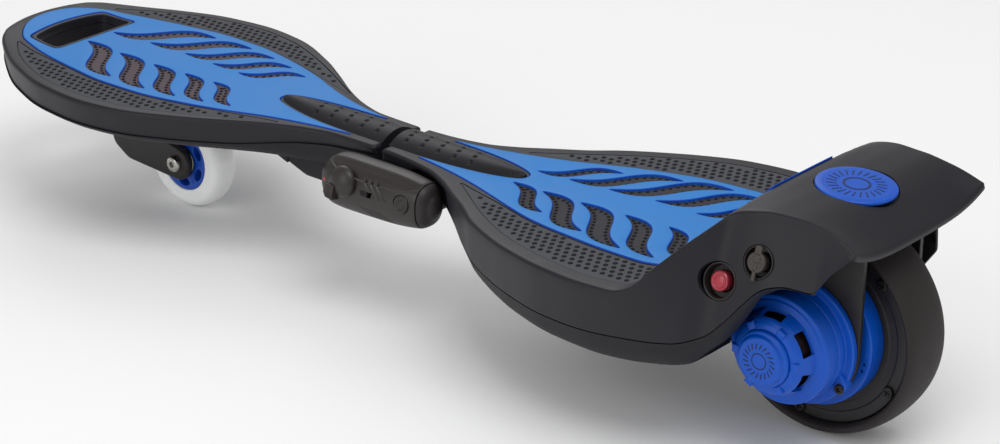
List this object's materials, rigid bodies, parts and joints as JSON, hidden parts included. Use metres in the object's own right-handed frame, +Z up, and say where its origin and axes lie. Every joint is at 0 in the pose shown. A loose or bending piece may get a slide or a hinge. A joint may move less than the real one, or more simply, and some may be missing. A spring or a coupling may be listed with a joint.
{
  "type": "electric caster board",
  "caption": "Caster board with front and rear decks that twist on a torsion bar, a swivelling front caster, a geared motor wheel at the tail and a hand remote docked beside the neck.",
  "frame": {"origin": "centre of the bounding box, on the ground plane under both wheels", "axes": "+X towards the nose along the board, +Y to the left side with the motor and the remote, +Z up out of the deck"},
  "size_m": [0.8168, 0.24, 0.1736],
  "materials": {
    "shell": "satin",
    "insert": "satin",
    "pad": "matte",
    "drive_blue": "satin",
    "caster_blue": "gloss",
    "wheel_white": "satin",
    "drive_rubber": "matte",
    "hub_black": "satin",
    "fork_black": "satin",
    "steel": "brushed",
    "dark_steel": "satin",
    "nylon": "matte",
    "copper": "satin",
    "battery_wrap": "matte",
    "circuit": "matte",
    "remote_grey": "satin",
    "button_red": "gloss"
  },
  "bodies": {
    "rear_deck": {"rear_shell": "shell", "rear_tub": "shell", "rear_insert": "insert", "rear_grip_mat": "pad", "rear_spine": "shell", "emblem_disc": "insert", "torsion_tube": "steel", "torsion_bar": "dark_steel", "torsion_cradle": "dark_steel", "battery_pack": "battery_wrap", "controller": "circuit", "switch_bezel": "hub_black", "charge_socket": "hub_black", "wheel_yoke": "dark_steel", "drive_axle": "steel", "planet_carrier": "dark_steel", "motor_can": "copper", "motor_cover": "drive_blue", "motor_end_cap": "drive_blue", "cover_screw": "dark_steel", "remote_dock": "hub_black"},
    "front_deck": {"front_shell": "shell", "front_hull": "shell", "front_insert": "insert", "front_grip_mat": "pad", "front_spine": "shell", "torsion_housing": "shell", "torsion_bush": "nylon", "caster_wedge": "fork_black", "kingpin": "steel"},
    "caster_fork": {"caster_fork": "fork_black", "swivel_bearing": "dark_steel", "caster_axle_bolt": "steel"},
    "caster_wheel": {"caster_tyre": "wheel_white", "caster_hub": "caster_blue", "caster_bearings": "steel"},
    "drive_wheel": {"drive_tyre": "drive_rubber", "hub_outer": "hub_black", "hub_inner": "hub_black", "hub_screw_1": "dark_steel", "hub_screw_2": "dark_steel", "hub_screw_3": "dark_steel", "hub_screw_4": "dark_steel", "hub_screw_5": "dark_steel", "hub_bearings": "steel", "drive_flange": "drive_blue"},
    "planet_1": {"planet_gear_1": "nylon"},
    "planet_2": {"planet_gear_2": "nylon"},
    "planet_3": {"planet_gear_3": "nylon"},
    "motor_pinion": {"motor_pinion": "steel"},
    "power_button": {"switch_button": "button_red"},
    "charge_cap": {"charge_cap": "remote_grey"},
    "remote": {"remote_face": "remote_grey", "remote_back": "remote_grey", "remote_cell": "copper"},
    "remote_cap": {"remote_cap": "hub_black"},
    "remote_dial": {"remote_dial": "remote_grey"},
    "remote_slider": {"remote_slider": "hub_black"},
    "remote_button": {"remote_button": "remote_grey"}
  },
  "joints": [
    {"name": "deck_twist", "type": "hinge", "parent": "rear_deck", "child": "front_deck", "pos_m": [0.0264, 0, 0.0905], "axis": [1, 0, 0], "range_deg": [-20, 20], "stiffness_Nm_per_rad": 22},
    {"name": "caster_swivel", "type": "hinge", "parent": "front_deck", "child": "caster_fork", "pos_m": [0.29911, 0, 0.069], "axis": [0.5, 0, 0.866], "continuous": true},
    {"name": "caster_wheel_spin", "type": "hinge", "parent": "caster_fork", "child": "caster_wheel", "pos_m": [0.24011, 0, 0.038], "axis": [0, 1, 0], "continuous": true},
    {"name": "drive_wheel_spin", "type": "hinge", "parent": "rear_deck", "child": "drive_wheel", "pos_m": [-0.3349, 0, 0.0735], "axis": [0, 1, 0], "continuous": true},
    {"name": "planet_1_spin", "type": "hinge", "parent": "rear_deck", "child": "planet_1", "pos_m": [-0.3349, 0, 0.0987], "axis": [0, 1, 0], "continuous": true},
    {"name": "planet_2_spin", "type": "hinge", "parent": "rear_deck", "child": "planet_2", "pos_m": [-0.35672, 0, 0.0609], "axis": [0, 1, 0], "continuous": true},
    {"name": "planet_3_spin", "type": "hinge", "parent": "rear_deck", "child": "planet_3", "pos_m": [-0.31307, 0, 0.0609], "axis": [0, 1, 0], "continuous": true},
    {"name": "motor_pinion_spin", "type": "hinge", "parent": "rear_deck", "child": "motor_pinion", "pos_m": [-0.3349, 0, 0.0735], "axis": [0, 1, 0], "continuous": true},
    {"name": "power_button_press", "type": "slide", "parent": "rear_deck", "child": "power_button", "axis": [0, -0.9508, -0.3098], "range_m": [0, 0.002], "stiffness_N_per_m": 600},
    {"name": "charge_cap_hinge", "type": "hinge", "parent": "rear_deck", "child": "charge_cap", "pos_m": [-0.33592, 0.08862, 0.13212], "axis": [1, 0, 0], "range_deg": [-110, 0], "stiffness_Nm_per_rad": 0.004},
    {"name": "remote_undock", "type": "slide", "parent": "rear_deck", "child": "remote", "axis": [0, 1, 0], "range_m": [0, 0.12]},
    {"name": "remote_cap_slide", "type": "slide", "parent": "remote", "child": "remote_cap", "axis": [-1, 0, 0], "range_m": [0, 0.0035]},
    {"name": "remote_dial_turn", "type": "hinge", "parent": "remote", "child": "remote_dial", "pos_m": [0.0251, 0.06192, 0.0934], "axis": [0, 0.9689, 0.2474], "range_deg": [-25, 25], "stiffness_Nm_per_rad": 0.03},
    {"name": "remote_slider_move", "type": "slide", "parent": "remote", "child": "remote_slider", "axis": [1, 0, 0], "range_m": [-0.003, 0]},
    {"name": "remote_button_press", "type": "slide", "parent": "remote", "child": "remote_button", "axis": [0, -0.9689, -0.2474], "range_m": [0, 0.001], "stiffness_N_per_m": 500}
  ],
  "couplings": [
    {"joint": "planet_1_spin", "follows": "drive_wheel_spin", "ratio": 2.5},
    {"joint": "planet_2_spin", "follows": "drive_wheel_spin", "ratio": 2.5},
    {"joint": "planet_3_spin", "follows": "drive_wheel_spin", "ratio": 2.5},
    {"joint": "motor_pinion_spin", "follows": "drive_wheel_spin", "ratio": -5}
  ]
}
